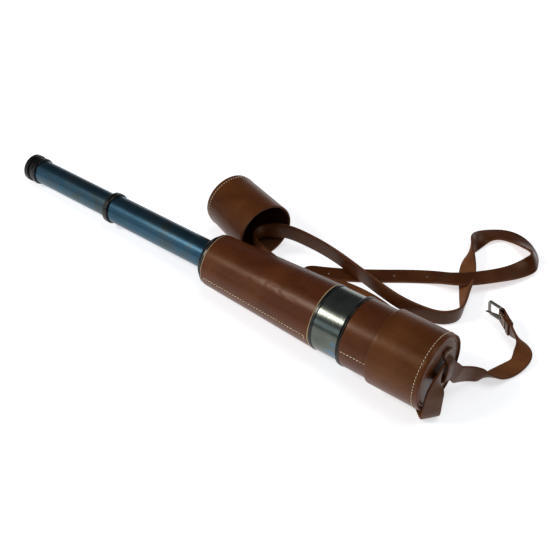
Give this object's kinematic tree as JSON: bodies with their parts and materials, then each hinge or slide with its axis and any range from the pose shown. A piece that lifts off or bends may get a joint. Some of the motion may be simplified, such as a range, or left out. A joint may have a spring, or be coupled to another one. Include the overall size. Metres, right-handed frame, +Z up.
{
  "type": "two-draw telescope",
  "caption": "Leather-covered brass telescope with its draws pulled out, a sliding sunshade, a leather cap on the objective, a loose leather cap and a buckled sling.",
  "frame": {"origin": "centre of the instrument's and caps' bounding box, on the floor they lie on", "axes": "+X along the instrument from the eyepiece towards the objective, +Z up"},
  "size_m": [0.5159, 0.2553, 0.0704],
  "materials": {
    "blackened_brass": "satin, blackened",
    "blued_brass": "polished, dark blue-green tarnish",
    "bare_brass": "polished, dark patina",
    "inner_brass": "turned",
    "barrel_leather": "waxed, scuffed",
    "cap_leather": "waxed",
    "strap_leather": "waxed grain side, bare flesh side",
    "buckle_metal": "worn",
    "optical_glass": "polished"
  },
  "bodies": {
    "barrel": {"body_tube": "bare_brass", "body_leather": "barrel_leather", "rear_collar": "blackened_brass", "draw_2_guide": "inner_brass", "front_collar": "blackened_brass", "objective_tube": "bare_brass", "body_baffle": "blackened_brass", "objective_cell": "blackened_brass", "flint_lens": "optical_glass", "crown_lens": "optical_glass", "lens_ring": "inner_brass"},
    "draw_2": {"draw_tube_2": "blued_brass", "draw_2_collar": "blackened_brass", "draw_1_guide": "inner_brass", "draw_2_stop": "inner_brass"},
    "draw_1": {"draw_tube_1": "blued_brass", "draw_1_stop": "inner_brass", "erector_tube": "inner_brass", "erector_lens_rear": "optical_glass", "erector_stop": "inner_brass", "erector_lens_front": "optical_glass", "eyepiece_tube": "inner_brass", "field_lens": "optical_glass", "eye_lens": "optical_glass", "eyecup": "blackened_brass", "eye_ring": "blackened_brass"},
    "sunshade": {"sunshade_tube": "bare_brass", "sunshade_guide": "inner_brass", "sunshade_rear_ring": "bare_brass", "sunshade_leather": "barrel_leather", "sunshade_front_ring": "bare_brass"},
    "front_cap": {"front_cap_wall": "cap_leather", "front_cap_end": "cap_leather", "front_cap_bridge": "cap_leather", "sling_buckle_end": "strap_leather", "sling_front_turn": "strap_leather", "sling_under_cap": "strap_leather", "sling_long_end": "strap_leather", "sling_chape": "strap_leather", "sling_keeper": "strap_leather", "buckle_frame": "buckle_metal"},
    "buckle_tongue": {"buckle_tongue": "buckle_metal"},
    "eye_cap": {"eye_cap_wall": "cap_leather", "eye_cap_end": "cap_leather", "eye_cap_bridge": "cap_leather"}
  },
  "joints": [
    {"name": "draw_2_slide", "type": "slide", "parent": "barrel", "child": "draw_2", "axis": [0.9988, 0, 0.0497], "range_m": [0, 0.1195]},
    {"name": "draw_1_slide", "type": "slide", "parent": "draw_2", "child": "draw_1", "axis": [0.9988, 0, 0.0497], "range_m": [0, 0.0965]},
    {"name": "sunshade_slide", "type": "slide", "parent": "barrel", "child": "sunshade", "axis": [0.9988, 0, 0.0497], "range_m": [-0.023, 0]},
    {"name": "front_cap_slide", "type": "slide", "parent": "barrel", "child": "front_cap", "axis": [0.9988, 0, 0.0497], "range_m": [0, 0.075]},
    {"name": "eye_cap_slide", "type": "slide", "parent": "barrel", "child": "eye_cap", "axis": [-0.9563, 0.2924, 0], "range_m": [0, 0.05]},
    {"name": "buckle_tongue_turn", "type": "hinge", "parent": "front_cap", "child": "buckle_tongue", "pos_m": [0.23198, 0.07914, 0.0112], "axis": [-0.0291, -0.2063, 0.9781], "range_deg": [-14.5, 60]}
  ]
}
